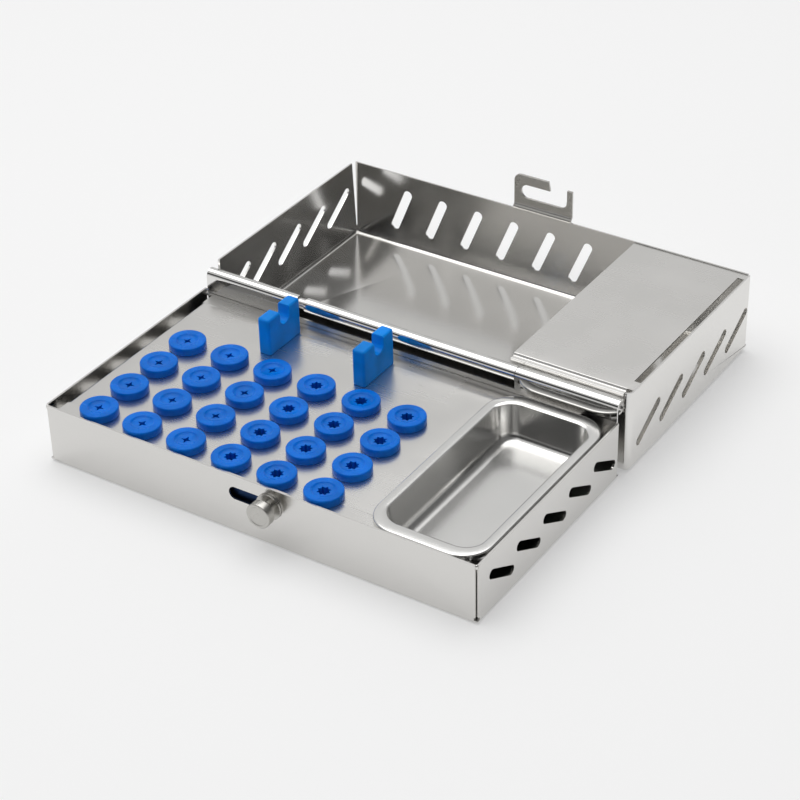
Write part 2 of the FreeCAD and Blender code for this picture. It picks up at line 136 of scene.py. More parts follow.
def name_last(name):
    """Names the object that the last operator added, and fixes its place in its mesh."""
    piece = bpy.context.view_layer.objects.active
    piece.name = piece.data.name = name
    bpy.ops.object.transform_apply(location=True, rotation=True, scale=True)
    return piece


def add_block(name, low, high):
    """A box between two corners."""
    low, high = Vector(low), Vector(high)
    bpy.ops.object.select_all(action="DESELECT")
    bpy.ops.mesh.primitive_cube_add(size=1, location=(low + high) / 2, scale=high - low)
    return name_last(name)


def add_rod(name, centre, axis, radius, length, sides=48):
    """A round bar about a centre, along an axis."""
    bpy.ops.object.select_all(action="DESELECT")
    turn = Z.rotation_difference(Vector(axis)).to_euler()
    bpy.ops.mesh.primitive_cylinder_add(vertices=sides, radius=radius, depth=length, location=centre,
                                        rotation=turn)
    return name_last(name)


def add_sheet(name, low, high, z):
    """A flat plane between two corners at one height."""
    bpy.ops.object.select_all(action="DESELECT")
    middle = ((low[0] + high[0]) / 2, (low[1] + high[1]) / 2, z)
    bpy.ops.mesh.primitive_plane_add(size=1, location=middle)
    bpy.context.view_layer.objects.active.scale = (high[0] - low[0], high[1] - low[1], 1)
    return name_last(name)


# %% [markdown]
# Modifiers do what is slow by hand: Solidify gives a folded surface the sheet's thickness, Boolean punches
# the slots, and Bevel breaks the cut edges so that they catch a thin line of light. Each is applied at
# once. The bevel is told to harden the normals, which keeps the big flat faces flat in reflections.

# %% Modifiers, joins and copies


def apply_modifier(piece, kind, **settings):
    """Adds one modifier, sets it and applies it."""
    activate(piece)
    modifier = piece.modifiers.new(kind.title(), kind)
    for key, value in settings.items():
        setattr(modifier, key, value)
    bpy.ops.object.modifier_apply(modifier=modifier.name)


def join(pieces, name):
    """Joins objects into the first one."""
    activate(pieces[0])
    for piece in pieces[1:]:
        piece.select_set(True)
    bpy.ops.object.join()
    pieces[0].name = pieces[0].data.name = name
    return pieces[0]


def cut(piece, cutters):
    """Takes the cutters' space out of a piece and deletes the cutters, which don't touch each other."""
    tool = join(cutters, "cutters")
    apply_modifier(piece, "BOOLEAN", operation="DIFFERENCE", solver="EXACT", object=tool)
    bpy.data.objects.remove(tool)


def break_edges(piece, width, segments=2, angle=30):
    """Rounds every sharp edge a little and keeps flat faces flat in reflections."""
    activate(piece)
    bpy.ops.object.shade_smooth()
    apply_modifier(piece, "BEVEL", width=width, segments=segments, limit_method="ANGLE",
                   angle_limit=math.radians(angle), use_clamp_overlap=True, miter_outer="MITER_ARC",
                   harden_normals=True)


def tidy(piece):
    """Merges doubles and points the faces outwards."""
    with editing(piece):
        bpy.ops.mesh.select_all(action="SELECT")
        bpy.ops.mesh.remove_doubles(threshold=0.2 * HAIR)
        bpy.ops.mesh.normals_make_consistent(inside=False)


def thicken(piece, way):
    """Turns a surface's largest face up (1) or down (-1), and thickens the surface behind it."""
    tidy(piece)
    largest = max(piece.data.polygons, key=lambda face: face.area)
    if largest.normal.z * way < 0:
        with editing(piece):
            bpy.ops.mesh.select_all(action="SELECT")
            bpy.ops.mesh.flip_normals()
    apply_modifier(piece, "SOLIDIFY", thickness=SHEET, offset=-1, use_even_offset=True)


# %% [markdown]
# Both pans are folded from one sheet: floor and walls, with rounded floor bends. The rear wall of the base
# and the near wall of the lid end in leaves that are rolled round the hinge pin. A pan could be built wall
# by wall, but then its bends would have to be matched. Here it starts as a box with its top face gone. The
# floor's edges are bevelled, strips of the wall's top edge are pulled up and spun round the hinge axis, and
# one Solidify gives the whole folded surface its thickness.

# %% Folded pans


def round_off(offset, segments):
    """Bevels the selected edges."""
    bpy.ops.mesh.bevel(offset=offset, offset_type="OFFSET", segments=segments, profile=0.5)


def open_pan(name, low, high, bend, round_uprights=()):
    """A box without a top, with rounded floor edges and any rounded uprights."""
    pan = add_block(name, low, high)
    with editing(pan):
        pick(pan, "faces", lambda f: f.normal.z > 0.9)
        bpy.ops.mesh.delete(type="ONLY_FACE")
        if round_uprights:
            pick(pan, "edges", lambda e: any(all_at(e, "x", x) and all_at(e, "y", y)
                                             for x, y in round_uprights))
            round_off(bend, 8)
        floor = low[2]
        pick(pan, "edges", lambda e: all_at(e, "z", floor))
        round_off(bend, 6)
    return pan


def split_at(pan, places, axis):
    """Cuts edges into the surface where it crosses planes across one axis."""
    with editing(pan):
        for place in places:
            bpy.ops.mesh.select_all(action="SELECT")
            bpy.ops.mesh.bisect(plane_co=axis * place, plane_no=axis)


def roll_leaf(pan, wall_y, rim_z, spans, turn, steps=40):
    """Pulls strips of a wall's rim up to the hinge axis and rolls them round it."""
    def on_leaf(edge):
        inside = any(a < middle_of(edge).x < b for a, b in spans)
        return all_at(edge, "y", wall_y) and all_at(edge, "z", rim_z) and inside

    with editing(pan, "EDGE"):
        found = pick(pan, "edges", on_leaf)
        bpy.ops.mesh.extrude_edges_move(TRANSFORM_OT_translate={"value": (0, 0, hinge.z - rim_z)})
        bpy.ops.mesh.spin(steps=steps, angle=turn, center=hinge, axis=(1, 0, 0))
    print(pan.name, "leaf edges rolled:", found)


# %% [markdown]
# The base is the shallow pan in front. Two strips of its rear wall are rolled into the hinge's outer
# knuckles. The roll stops short of a full turn, as a real curl does, and leaves a thin open seam.

# %% Base pan
CURL = math.radians(305)
BASE_BEND = 1.2 * MM
KNUCKLE_START = 39.75 * MM
KNUCKLE_END = 74.2 * MM
base_shell = open_pan("base_pan", base_low, Vector((base_high.x, base_rear, BASE_TOP)), BASE_BEND)
split_at(base_shell, [s * x for s in (-1, 1) for x in (KNUCKLE_START, KNUCKLE_END)], X)
roll_leaf(base_shell, base_rear, BASE_TOP,
          [(-KNUCKLE_END, -KNUCKLE_START), (KNUCKLE_START, KNUCKLE_END)], CURL)
thicken(base_shell, -1)
print("base pan:", [round(v / MM, 2) for v in base_shell.dimensions])

# %% [markdown]
# The slots let steam in: slanted ones in both side walls, and a level one in the front wall, in which the
# latch's knob slides. A slot could be drawn as an outline and extruded. A rod whose halves are pulled apart
# gives the same round-ended shape sooner, and a row of them is cut in one Boolean.

# %% Slot cutters
PUNCH_DEPTH = 4 * MM


def slot_cutter(centre, through, along, length, width, depth):
    """A long block with round ends: the two halves of a rod are pulled apart."""
    rod = add_rod("slot_cutter", (0, 0, 0), Z, width / 2, depth, 40)
    reach = (length - width) / 2
    with editing(rod, "VERT"):
        for side in (-1, 1):
            pick(rod, "verts", lambda v: v.co.x * side > HAIR)
            bpy.ops.transform.translate(value=(side * reach, 0, 0))
    through, along = Vector(through).normalized(), Vector(along).normalized()
    turn = Matrix((along, through.cross(along), through)).transposed().to_4x4()
    rod.data.transform(Matrix.Translation(centre) @ turn)
    return rod


def slanted_row(start, step, through, along, across, row, depth):
    """Slot cutters in a row, each tilted in the wall's own plane."""
    tilt = math.radians(row["tilt"])
    lean = along * math.cos(tilt) + across * math.sin(tilt)
    middle = (row["count"] - 1) / 2
    return [slot_cutter(start + step * (i - middle) * row["pitch"], through, lean, row["length"],
                        row["width"], depth) for i in range(row["count"])]


# %% [markdown]
# The walls of the base aren't welded along their whole height. They meet in a thin open seam that ends in
# a small relief hole at the floor and a weld bead at the rim. The seam is a box cut out of the corner, the
# hole is a rod, smaller at the rear, and the bead is a stretched ball that is joined on after the edges are
# broken.

# %% Corners and slots of the base
SEAM = 0.8 * MM
RELIEF_DEPTH = 0.9 * MM
FRONT_RELIEF, REAR_RELIEF = 1.2 * MM, SEAM
BEAD_RADIUS = 0.55 * MM
BEAD_INSET = 0.62 * MM
BEAD_DROP = 0.75 * MM
SIDE_ROW = {"count": 5, "pitch": 14.6 * MM, "tilt": -28, "length": 14.6 * MM, "width": 3.1 * MM}
SIDE_ROW_MIDDLE = Vector((0, 2 * MM, 9.8 * MM))
BOTH_WALLS = 160 * MM
LATCH_SLOT = {"length": 16.5 * MM, "width": 4.3 * MM}
LATCH_SLOT_MIDDLE = (0.6 * MM, base_front, 13.9 * MM)


def open_corners(pan, corners, bend, top, hole):
    """Takes the corner columns out of a pan's walls, with a relief hole at the foot of each."""
    cut(pan, [add_block("seam", (x - SEAM, y - SEAM, bend), (x + SEAM, y + SEAM, top + SHEET))
              for x, y in corners])
    cut(pan, [add_rod("relief", (x, y, bend + RELIEF_DEPTH / 2), Z, hole, RELIEF_DEPTH, 24)
              for x, y in corners])


def weld_bead(x, y, z):
    """A small stretched ball of weld metal at a seam's upper end."""
    bpy.ops.object.select_all(action="DESELECT")
    bpy.ops.mesh.primitive_uv_sphere_add(segments=20, ring_count=12, radius=BEAD_RADIUS,
                                         location=(x, y, z), scale=(1, 1, 1.5))
    bpy.ops.object.shade_smooth()
    return name_last("weld_bead")


for end, hole in ((-1, FRONT_RELIEF), (1, REAR_RELIEF)):
    open_corners(base_shell, [(side * base_high.x, end * base_rear) for side in (-1, 1)],
                 BASE_BEND, BASE_TOP, hole)
slots = slanted_row(SIDE_ROW_MIDDLE, Y, X, Y, Z, SIDE_ROW, BOTH_WALLS)
slots.append(slot_cutter(LATCH_SLOT_MIDDLE, Y, X, depth=PUNCH_DEPTH, **LATCH_SLOT))
cut(base_shell, slots)
break_edges(base_shell, SHEET_EDGE)
beads = [weld_bead(side * (base_high.x - BEAD_INSET), end * (base_rear - BEAD_INSET), BASE_TOP - BEAD_DROP)
         for side in (-1, 1) for end in (-1, 1)]
base_shell = join([base_shell] + beads, "base_pan")
print("base pan faces:", len(base_shell.data.polygons))

# %% [markdown]
# The lid is folded the same way, but deeper, and its two uprights beside the hinge are rounded. Its near
# wall is cut down where the base's knuckles turn, and only the middle of it is rolled round the pin. The
# left upright is cut down with the wall, and the right one keeps its height.

# %% Lid pan
LID_TOP = 28 * MM
LID_BEND = 2 * MM
LEAF_GAP = 2.65 * MM
LEAF_PLAY = 2 * MM
NOTCH_Z = hinge.z - LEAF_GAP
NOTCH_Y = hinge.y + LEAF_GAP
LID_KNUCKLE = (lid_low.x + 37 * MM, lid_low.x + 113 * MM)
lid_x = (lid_low.x + lid_high.x) / 2
lid_shell = open_pan("lid_pan", (lid_low.x, lid_near, lid_low.z), (lid_high.x, lid_far, LID_TOP), LID_BEND,
                     [(lid_low.x, lid_near), (lid_high.x, lid_near)])
split_at(lid_shell, LID_KNUCKLE, X)
split_at(lid_shell, [NOTCH_Z], Z)
with editing(lid_shell):
    pick(lid_shell, "faces", lambda f: all_at(f, "y", lid_near) and f.calc_center_median().z > NOTCH_Z)
    bpy.ops.mesh.delete(type="FACE")
roll_leaf(lid_shell, lid_near, NOTCH_Z, [LID_KNUCKLE], -CURL)
thicken(lid_shell, -1)
cut(lid_shell, [add_block("notch", (lid_low.x - SHEET, lid_near - SHEET, NOTCH_Z),
                          (LID_KNUCKLE[0] - LEAF_PLAY, NOTCH_Y, LID_TOP + SHEET))])
print("lid pan:", [round(v / MM, 2) for v in lid_shell.dimensions])

# %% [markdown]
# The lid's three rows of slots aren't alike on the real box, so each row has its own numbers. The far right
# corner has the same thin seam as the base. The far left one opens upwards in a V: it could be made by
# leaning the side wall, but a cut is simpler, and keeps the wall flat for its slots. The cutter is a block
# whose upper edge is pulled towards the hinge.

# %% Corners and slots of the lid
LEFT_ROW = {"count": 5, "pitch": 14.45 * MM, "tilt": 35, "length": 16 * MM, "width": 3.1 * MM}
RIGHT_ROW = {"count": 5, "pitch": 14.8 * MM, "tilt": 31, "length": 16.8 * MM, "width": 3.1 * MM}
FAR_ROW = {"count": 9, "pitch": 13.98 * MM, "tilt": 67.5, "length": 17.1 * MM, "width": 3.3 * MM}
CORNER_GAP = 2.3 * MM
GAP_FOOT = 3 * MM

wedge = add_block("wedge", (lid_low.x - SHEET, lid_far - SEAM, GAP_FOOT),
                  (lid_low.x + SEAM, lid_far + SHEET, LID_TOP + SHEET))
with editing(wedge, "VERT"):
    pick(wedge, "verts", lambda v: v.co.z > LID_TOP and v.co.y < lid_far)
    bpy.ops.transform.translate(value=(0, SEAM - CORNER_GAP, 0))
lid_y = (lid_near + lid_far) / 2
left_middle = Vector((lid_low.x, lid_y - 0.4 * MM, 14.8 * MM))
right_middle = Vector((lid_high.x, lid_y + 1.6 * MM, 12 * MM))
far_middle = Vector((lid_x + 0.4 * MM, lid_far, 14.3 * MM))
open_corners(lid_shell, [(lid_high.x, lid_far)], LID_BEND, LID_TOP, FRONT_RELIEF)
cut(lid_shell, [wedge])
cut(lid_shell, slanted_row(left_middle, Y, X, Y, Z, LEFT_ROW, PUNCH_DEPTH))
cut(lid_shell, slanted_row(right_middle, Y, X, Y, Z, RIGHT_ROW, PUNCH_DEPTH))
cut(lid_shell, slanted_row(far_middle, X, Y, X, Z, FAR_ROW, PUNCH_DEPTH))
break_edges(lid_shell, SHEET_EDGE)
print("lid pan faces:", len(lid_shell.data.polygons))

# %% [markdown]
# Cover and plate are flat sheets with folded edges. A block could be cut down to each of them, but a plane
# whose edges are pulled out folds as the real sheet does, and its bends stay easy to change. These helpers
# take faces out of a plane, pull its edges and round its folds.

# %% Flat sheets with folded edges


def drop_faces(piece, test):
    """Deletes the faces whose centre passes the test."""
    with editing(piece):
        pick(piece, "faces", lambda f: test(f.calc_center_median()))
        bpy.ops.mesh.delete(type="FACE")


def pull_edges(piece, test, moves):
    """Extrudes the edges that pass a test on their middle and themselves, once for each move."""
    with editing(piece, "EDGE"):
        pick(piece, "edges", lambda e: test(middle_of(e), e))
        for move in moves:
            bpy.ops.mesh.extrude_edges_move(TRANSFORM_OT_translate={"value": move})


def soften_folds(piece, test, radius):
    """Rounds the level folds that pass a test on their middle and themselves."""
    with editing(piece, "EDGE"):
        pick(piece, "edges", lambda e: len(e.link_faces) == 2 and near(e.verts[0].co.z, e.verts[1].co.z)
             and e.calc_face_angle() > 0.3 and test(middle_of(e), e))
        round_off(radius, 5)


# %% [markdown]
# A flat cover closes the right end of the lid. Its near edge steps down beside the hinge, and a slit stays
# open along the right wall between two ears. The sheet is divided where it changes, the slit's faces are
# deleted, and the near edge is pulled out three times: down, forward and down again.

# %% Cover over the lid's end
cover_low, cover_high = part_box("cover_plate")
COVER_NEAR = cover_low.y + 2.05 * MM
SLIT_X = cover_high.x - 2.4 * MM
NEAR_EAR = COVER_NEAR + 4.5 * MM
FAR_EAR = cover_high.y - 3 * MM
STEP_LEAN = 0.3 * MM
STEP_DROP = 0.8 * MM
LIP_DROP = 1.6 * MM
STEP_BEND = 0.22 * MM

cover = add_sheet("cover_sheet", (cover_low.x, COVER_NEAR), (cover_high.x, cover_high.y), cover_high.z)
split_at(cover, [SLIT_X], X)
split_at(cover, [NEAR_EAR, FAR_EAR], Y)
drop_faces(cover, lambda c: c.x > SLIT_X and NEAR_EAR < c.y < FAR_EAR)
pull_edges(cover, lambda c, e: all_at(e, "y", COVER_NEAR) and c.x < SLIT_X,
           [(0, -STEP_LEAN, -STEP_DROP), (0, cover_low.y - COVER_NEAR + STEP_LEAN, 0), (0, 0, -LIP_DROP)])
soften_folds(cover, lambda c, e: c.z > cover_high.z - 1.3 * MM and c.y < COVER_NEAR + HAIR, STEP_BEND)
thicken(cover, 1)
break_edges(cover, SHEET_EDGE)
print("cover:", [round(v / MM, 2) for v in cover.dimensions])

# %% [markdown]
# The perforated plate is one sheet with two legs folded down, a slit along the left wall and two arms that
# carry the tray's rim, each with a small gusset at its root. It is made in the same way as the cover. The
# grommets' holes are then punched where the frame has its grommets, and a notch clears the latch's guide.

# %% Perforated plate
plate_low, plate_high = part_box("bur_plate")
tray_low, tray_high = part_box("tray_insert")
guide_low, guide_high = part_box("latch_guide")
PLATE_RIGHT = tray_low.x + 0.9 * MM
PLATE_SLIT = plate_low.x + 2.5 * MM
EAR_Y = plate_high.y - 0.8 * MM
ARM_Y = plate_high.y - 3.2 * MM
GUSSET_Y = ARM_Y - 2.4 * MM
GUSSET_X = PLATE_RIGHT + 2.2 * MM
LEG_Y = GUSSET_Y - 0.8 * MM
LEG_BEND = 0.9 * MM
HOLE = 4.02 * MM
PLAY = 0.15 * MM
grommet_places = {}
for column in range(1, 7):
    for row in range(1, 5):
        low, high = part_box("grommet_%d_%d" % (column, row))
        grommet_places[column, row] = Vector(((low.x + high.x) / 2, (low.y + high.y) / 2, 0))

plate = add_sheet("plate_sheet", (plate_low.x, plate_low.y), (PLATE_RIGHT, plate_high.y), plate_high.z)
split_at(plate, [PLATE_SLIT], X)
split_at(plate, [s * y for s in (-1, 1) for y in (EAR_Y, ARM_Y, GUSSET_Y, LEG_Y)], Y)
drop_faces(plate, lambda c: c.x < PLATE_SLIT and abs(c.y) < EAR_Y)
pull_edges(plate, lambda c, e: all_at(e, "x", PLATE_RIGHT) and abs(c.y) > GUSSET_Y,
           [(GUSSET_X - PLATE_RIGHT, 0, 0)])
pull_edges(plate, lambda c, e: all_at(e, "x", GUSSET_X) and abs(c.y) > ARM_Y,
           [(plate_high.x - GUSSET_X, 0, 0)])
for leg_x in (PLATE_SLIT, PLATE_RIGHT):
    pull_edges(plate, lambda c, e: all_at(e, "x", leg_x) and abs(c.y) < LEG_Y,
               [(0, 0, plate_low.z - plate_high.z)])
    soften_folds(plate, lambda c, e: all_at(e, "x", leg_x) and abs(c.y) < LEG_Y and near(c.z, plate_high.z),
                 LEG_BEND)
thicken(plate, 1)
cut(plate, [add_rod("hole", place + Z * plate_high.z, Z, HOLE, 3 * MM, 48)
            for place in grommet_places.values()])
cut(plate, [add_block("notch", (guide_low.x - PLAY, base_front, guide_high.z - 3 * MM),
                      (guide_high.x + PLAY, guide_high.y + PLAY, BASE_TOP + SHEET))])
break_edges(plate, 0.08 * MM)
print("plate faces:", len(plate.data.polygons))

# %% [markdown]
# A silicone grommet sits in each hole. Its flange has a rounded rim and a shallow dish, and the dish falls
# towards a socket that grips the instrument's shank. A profile could be spun, but a chain of insets and
# extrusions on a cylinder gives the same turned part and keeps each radius as a number of its own. The
# socket is punched with a star, which is a cylinder with every second corner drawn in.

# %% Grommet's shape
FLANGE = 5.85 * MM
FLANGE_TOP = plate_high.z + 2.6 * MM
SLEEVE = 4 * MM
SLEEVE_LOW = plate_high.z - 4.6 * MM
DISH_SLOPE, DISH_DEPTH = 0.4 * MM, 0.5 * MM
FALL = 0.1 * MM
RIM_ROUND, DISH_ROUND, FOOT_ROUND = 0.45 * MM, 0.26 * MM, 0.2 * MM
POINT_ROUND = 0.12 * MM


def extrude_faces(move):
    """Extrudes the selected faces by a move."""
    bpy.ops.mesh.extrude_region_move(TRANSFORM_OT_translate={"value": move})


def outside(edge, radius):
    """True where both ends of an edge are a radius or more from the Z axis."""
    return all(v.co.xy.length > radius - HAIR for v in edge.verts)


def inside(edge, radius):
    """True where both ends of an edge are a radius or less from the Z axis."""
    return all(v.co.xy.length < radius + HAIR for v in edge.verts)


def star_punch(points, tip, waist):
    """A prism with a star's outline: every second corner of a cylinder is drawn in."""
    punch = add_rod("punch", (0, 0, FLANGE_TOP), Z, tip, 20 * MM, points * 2)
    with editing(punch, "VERT"):
        step = math.pi / points
        pick(punch, "verts", lambda v: round(math.atan2(v.co.x, v.co.y) / step) % 2 == 1)
        bpy.ops.transform.resize(value=(waist / tip, waist / tip, 1), center_override=(0, 0, 0))
        pick(punch, "edges", lambda e: abs(e.verts[0].co.z - e.verts[1].co.z) > MM)
        round_off(POINT_ROUND, 4)
    return punch


def turned_grommet(name, punch, dish):
    """Flange, dish and sleeve of one grommet at the origin, with its socket punched."""
    seat = plate_high.z
    grommet = add_rod(name, (0, 0, (FLANGE_TOP + seat) / 2), Z, FLANGE, FLANGE_TOP - seat, 64)
    with editing(grommet):
        pick(grommet, "faces", lambda f: f.normal.z > 0.99)
        bpy.ops.mesh.inset(thickness=FLANGE - dish)
        bpy.ops.mesh.inset(thickness=DISH_SLOPE, depth=-DISH_DEPTH)
        bpy.ops.mesh.inset(thickness=dish * 0.45, depth=-FALL)
        pick(grommet, "faces", lambda f: f.normal.z < -0.99)
        bpy.ops.mesh.inset(thickness=FLANGE - SLEEVE)
        extrude_faces((0, 0, SLEEVE_LOW - seat))
        pick(grommet, "edges", lambda e: all_at(e, "z", FLANGE_TOP) and outside(e, FLANGE))
        round_off(RIM_ROUND, 5)
        pick(grommet, "edges", lambda e: all_at(e, "z", FLANGE_TOP) and inside(e, dish))
        round_off(DISH_ROUND, 4)
        pick(grommet, "edges", lambda e: all_at(e, "z", SLEEVE_LOW)
             or (all_at(e, "z", seat) and outside(e, FLANGE)))
        round_off(FOOT_ROUND, 2)
    cut(grommet, [punch])
    break_edges(grommet, 0.06 * MM, angle=50)
    return grommet


# %% [markdown]
# The left three columns have a small cross for a socket and the right three a wider star. One grommet of
# each kind is made and copied into its holes, and each copy gets a small turn of its own, as it does when
# it is pressed in by hand.

# %% Grommets in their holes


def copy_to(piece, name, shift, turn):
    """A copy with its own mesh, turned about Z and then moved."""
    twin = piece.copy()
    twin.data = piece.data.copy()
    twin.name = twin.data.name = name
    bpy.context.scene.collection.objects.link(twin)
    twin.data.transform(Matrix.Translation(shift) @ Matrix.Rotation(turn, 4, "Z"))
    return twin


cross_grommet = turned_grommet("grommet_cross", star_punch(4, 1.75 * MM, 0.62 * MM), 3.5 * MM)
star_grommet = turned_grommet("grommet_star", star_punch(8, 2.15 * MM, 1.45 * MM), 3.7 * MM)
grommets = {}
for (column, row), place in grommet_places.items():
    source = cross_grommet if column <= 3 else star_grommet
    turn = math.radians((column * 37 + row * 53) % 24 - 12)
    grommets[column, row] = copy_to(source, "silicone_grommet_%d_%d" % (column, row), place, turn)
for source in (cross_grommet, star_grommet):
    bpy.data.objects.remove(source)
print("grommets:", len(grommets), "faces each:", len(grommets[1, 1].data.polygons))

# %% [markdown]
# Two silicone rests hold longer instruments. Each is a slab with a round-bottomed notch in its top and a
# foot that is pulled through the plate. The slab's edges are rounded first, the notch is cut with the slot
# cutter, and a last small bevel softens the notch's own edge. One bevel at the end would have to be as
# small as the notch's edge allows.

# %% Rests
REST_EDGE = 0.85 * MM
NOTCH_EDGE = 0.3 * MM
NOTCH_DEPTH = 4.9 * MM
NOTCH_WIDTH = 4.7 * MM
NOTCH_REACH = 20 * MM
NECK = Vector((1.2 * MM, 6 * MM, 0))


def silicone_rest(name, low, high):
    """A notched slab on the plate, with its neck and foot below."""
    middle = (low + high) / 2
    slab = add_block(name, (low.x, low.y, plate_high.z), high)
    with editing(slab):
        pick(slab, "edges", lambda e: all_at(e, "z", high.z) or abs(e.verts[0].co.z - e.verts[1].co.z) > MM)
        round_off(REST_EDGE, 5)
    notch_at = (middle.x, middle.y + 0.2 * MM, high.z - NOTCH_DEPTH + NOTCH_REACH / 2)
    cut(slab, [slot_cutter(notch_at, X, Z, NOTCH_REACH, NOTCH_WIDTH, NOTCH_REACH)])
    break_edges(slab, NOTCH_EDGE, segments=3, angle=50)
    below = plate_high.z - SHEET
    neck = add_block("neck", (middle.x - NECK.x, middle.y - NECK.y, below),
                     (middle.x + NECK.x, middle.y + NECK.y, plate_high.z))
    foot = add_block("foot", (low.x, middle.y - NECK.y, low.z), (high.x, middle.y + NECK.y, below))
    break_edges(foot, NOTCH_EDGE)
    return join([slab, neck, foot], name)


rest_boxes = {side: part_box("instrument_rest_" + side) for side in ("left", "right")}
rests = {side: silicone_rest("silicone_rest_" + side, *box) for side, box in rest_boxes.items()}
cut(plate, [add_block("tongue", (low.x + 1 * MM, low.y + 2.2 * MM, plate_high.z - 1.5 * SHEET),
                      (high.x - 1 * MM, high.y - 2.2 * MM, plate_high.z + SHEET))
            for low, high in rest_boxes.values()])
print("rests:", [piece.name for piece in rests.values()])

# %% [markdown]
# The tray is pressed from one sheet: a flat rim with its edge turned down, and a bowl with sloping walls and
# a rounded floor. A subdivided cage would give soft corners too, but insets and bevels keep each radius in
# millimetres. The tray starts as a flat rectangle with round corners. Insets make the rim, the inner face
# is pushed down and drawn in for the slope, and bevels round the floor, the mouth and the rim's edge.

# %% Tray
TRAY_FLOOR = tray_high.z - 12.4 * MM
TRAY_LIP = plate_high.z
TRAY_CORNER = 9.7 * MM
RIM = 2.6 * MM
MOUTH_SLOPE, MOUTH_DROP = 0.6 * MM, 0.35 * MM
FLOOR_ROUND, MOUTH_ROUND, EDGE_ROUND = 3.2 * MM, 0.5 * MM, 0.6 * MM
MOUTH = (33 * MM, 70 * MM)
RIM_INSIDE = (34 * MM, 71 * MM)
tray_middle = (tray_low + tray_high) / 2
TRAY_AT = (tray_middle.x, tray_middle.y, 0)


def within(edge, size):
    """True where both ends of an edge lie in a rectangle about the tray's centre."""
    return all(abs(v.co.x - tray_middle.x) < size[0] / 2 and abs(v.co.y - tray_middle.y) < size[1] / 2
               for v in edge.verts)


def on_rim(part):
    """True where a face or edge lies in the rim's flat top."""
    return all_at(part, "z", tray_high.z)


tray = add_sheet("tray_sheet", tray_low, tray_high, tray_high.z)
with editing(tray, "VERT"):
    bpy.ops.mesh.select_all(action="SELECT")
    bpy.ops.mesh.bevel(offset=TRAY_CORNER, offset_type="OFFSET", segments=14, profile=0.5, affect="VERTICES")
    bpy.ops.mesh.select_mode(type="FACE")
    bpy.ops.mesh.select_all(action="SELECT")
    bpy.ops.mesh.inset(thickness=RIM)
    bpy.ops.transform.resize(value=(1, 69.2 / 71.6, 1), center_override=TRAY_AT)
    bpy.ops.mesh.inset(thickness=MOUTH_SLOPE, depth=-MOUTH_DROP)
    extrude_faces((0, 0, TRAY_FLOOR - tray_high.z + MOUTH_DROP))
    bpy.ops.transform.resize(value=(28 / 31, 65 / 68, 1), center_override=TRAY_AT)
    pick(tray, "edges", lambda e: all_at(e, "z", TRAY_FLOOR))
    round_off(FLOOR_ROUND, 9)
    pick(tray, "edges", lambda e: on_rim(e) and within(e, MOUTH))
    round_off(MOUTH_ROUND, 4)
    pick(tray, "edges", lambda e: e.is_boundary)
    bpy.ops.mesh.extrude_edges_move(TRANSFORM_OT_translate={"value": (0, 0, TRAY_LIP - tray_high.z)})
    pick(tray, "edges", lambda e: on_rim(e) and not all(on_rim(face) for face in e.link_faces)
         and not within(e, RIM_INSIDE))
    round_off(EDGE_ROUND, 4)
thicken(tray, 1)
break_edges(tray, SHEET_EDGE, angle=50)
print("tray:", [round(v / MM, 2) for v in tray.dimensions], "faces", len(tray.data.polygons))

# %% [markdown]
# The latch's knob is one turned part: head, neck, collar, and a shaft that goes through the slot to the
# slider behind the wall. Turning is drawn here as a chain from the head's back, and each part of the chain
# is a new radius and a length. Shallow rings on the head's face are insets, as a lathe leaves them.

# %% Knob
knob_low, knob_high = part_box("latch_knob")
knob_x, knob_z = (knob_low.x + knob_high.x) / 2, (knob_low.z + knob_high.z) / 2
KNOB_AT = (knob_x, 0, knob_z)
HEAD, HEAD_LENGTH = 4 * MM, 2.7 * MM
HEAD_BACK = knob_low.y + HEAD_LENGTH
COLLAR_FRONT = HEAD_BACK + 2.4 * MM
COLLAR_BACK = base_front - 0.1 * MM
SHAFT_BACK = base_front + 0.7 * MM
chain = [
    (2.1 * MM, COLLAR_FRONT - HEAD_BACK),
    (4.2 * MM, COLLAR_BACK - COLLAR_FRONT),
    (1.9 * MM, SHAFT_BACK - COLLAR_BACK),
    (1.4 * MM, knob_high.y - SHAFT_BACK),
]
knob = add_rod("turned_knob", (knob_x, (knob_low.y + HEAD_BACK) / 2, knob_z), Y, HEAD, HEAD_LENGTH, 64)
with editing(knob):
    pick(knob, "faces", lambda f: f.normal.y > 0.99)
    last = HEAD
    for radius, length in chain:
        extrude_faces((0, 0, 0))
        bpy.ops.transform.resize(value=(radius / last, 1, radius / last), center_override=KNOB_AT)
        extrude_faces((0, length, 0))
        last = radius
    pick(knob, "faces", lambda f: all_at(f, "y", knob_low.y))
    for thickness, depth in ((0.9, 0), (0.2, -0.16), (0.5, 0), (0.9, 0.12)):
        bpy.ops.mesh.inset(thickness=thickness * MM, depth=depth * MM)
    pick(knob, "edges", lambda e: all_at(e, "y", knob_low.y) and all(
        math.hypot(v.co.x - knob_x, v.co.z - knob_z) > HEAD - 0.1 * MM for v in e.verts))
    round_off(0.45 * MM, 5)
tidy(knob)
break_edges(knob, 0.09 * MM)
print("knob:", [round(v / MM, 2) for v in knob.dimensions])

# %% [markdown]
# The hook on the lid catches the knob's neck when the box is shut. It is a flat plate with a small joggle at
# the lid's rim, a long slot, and a mouth that opens the slot through the free edge. A block is divided at
# the rim and its upper part is pushed back for the joggle. Slot, mouth and the low crown are then cut.

